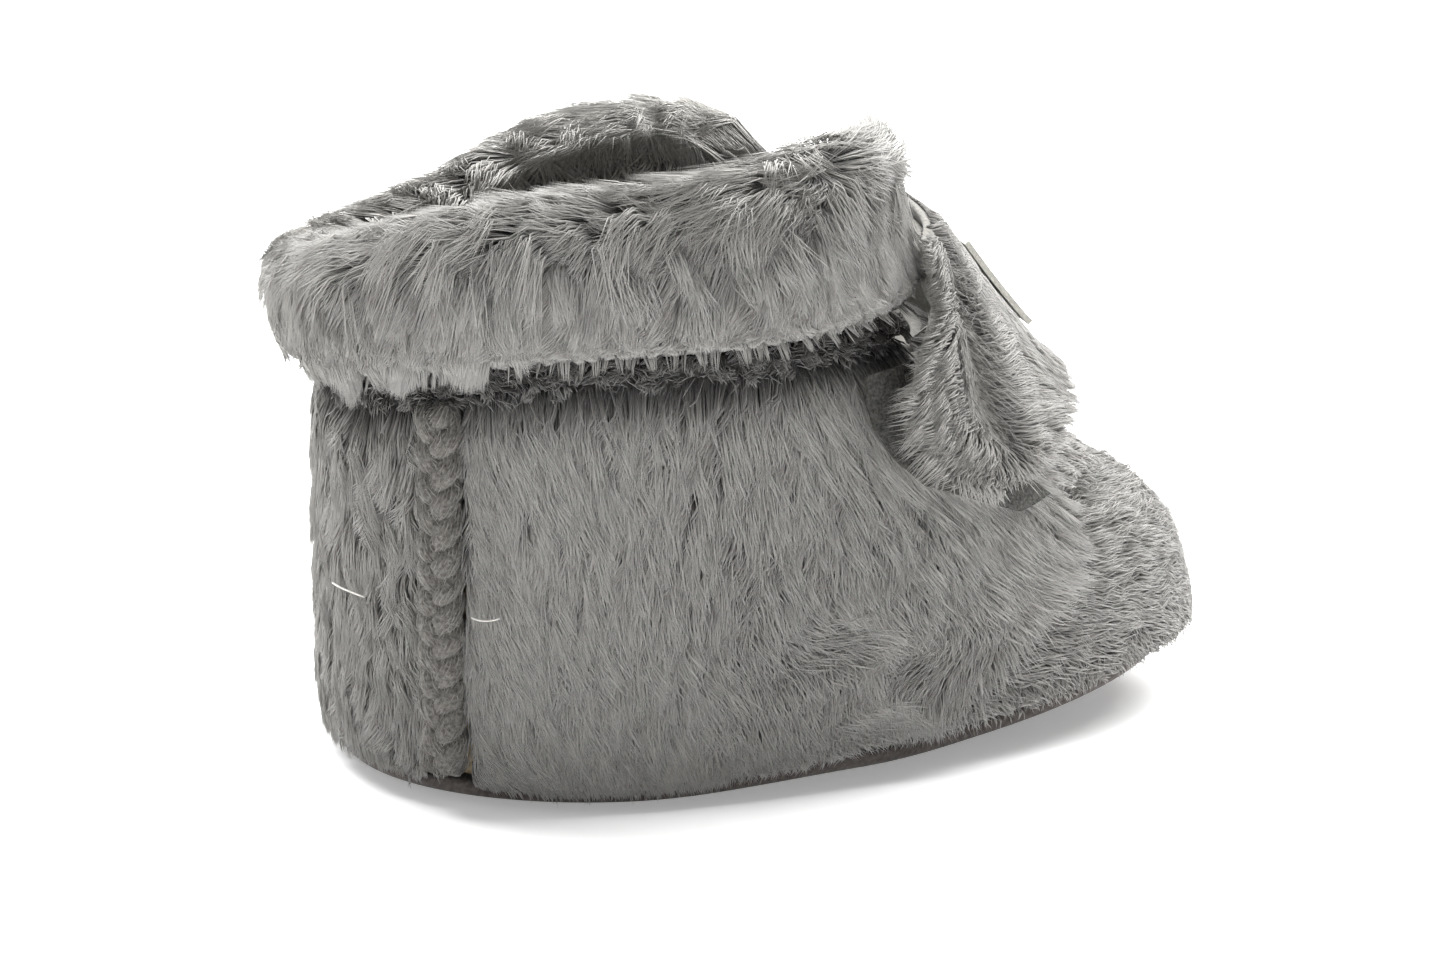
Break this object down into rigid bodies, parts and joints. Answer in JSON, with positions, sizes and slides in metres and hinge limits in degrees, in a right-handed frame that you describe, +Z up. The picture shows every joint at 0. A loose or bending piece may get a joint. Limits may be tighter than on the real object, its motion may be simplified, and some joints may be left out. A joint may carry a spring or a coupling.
{
  "type": "baby bootie",
  "caption": "Infant's soft wrap bootie in long grey faux fur, with a rolled cuff, plaited heel seams, a flap over the instep and a thin suede sole.",
  "frame": {"origin": "middle of the bootie's box, on the surface that the sole rests on", "axes": "+X from heel to toe, +Y towards the side that the flap is folded from, +Z up"},
  "size_m": [0.1308, 0.0782, 0.0858],
  "materials": {
    "fur": "long-pile faux fur, matt, combed down",
    "fleece_lining": "shorter pile fleece lining",
    "suede": "thin brushed suede sole",
    "foam": "soft sheet foam",
    "insole_board": "stiffened fibre board",
    "yarn": "heavy fuzzy yarn, plaited",
    "closure_tape": "hook and loop tape, sparkling hooks",
    "woven_patch": "plain woven tape, bare"
  },
  "bodies": {
    "shoe": {"outsole": "suede", "midsole": "foam", "insole_board": "insole_board", "footbed": "fleece_lining", "toe_vamp": "fur", "vamp_lining": "fleece_lining", "side_panel_near": "fur", "side_panel_far": "fur", "heel_panel": "fur", "heel_counter": "insole_board", "heel_lining": "fleece_lining", "quarter_lining_near": "fleece_lining", "quarter_lining_far": "fleece_lining", "heel_plait_near": "yarn", "heel_plait_far": "yarn", "cuff_seam_tape": "yarn", "cuff_roll": "fur", "loop_tape": "closure_tape"},
    "flap": {"closure_flap": "fur", "flap_lining": "fleece_lining", "hook_tape": "closure_tape", "front_patch": "woven_patch"},
    "underlap_wing": {"underlap": "fur", "underlap_lining": "fleece_lining"}
  },
  "joints": [
    {"name": "flap_fold", "type": "hinge", "parent": "shoe", "child": "flap", "pos_m": [0.02244, 0.03179, 0.05109], "axis": [-0.5335, -0.0483, 0.8444], "range_deg": [0, 110]},
    {"name": "underlap_fold", "type": "hinge", "parent": "shoe", "child": "underlap_wing", "pos_m": [0.02878, -0.02268, 0.04672], "axis": [0.652, -0.0274, -0.7577], "range_deg": [0, 44]}
  ],
  "couplings": [
    {"joint": "underlap_fold", "follows": "flap_fold", "ratio": 0.4}
  ]
}
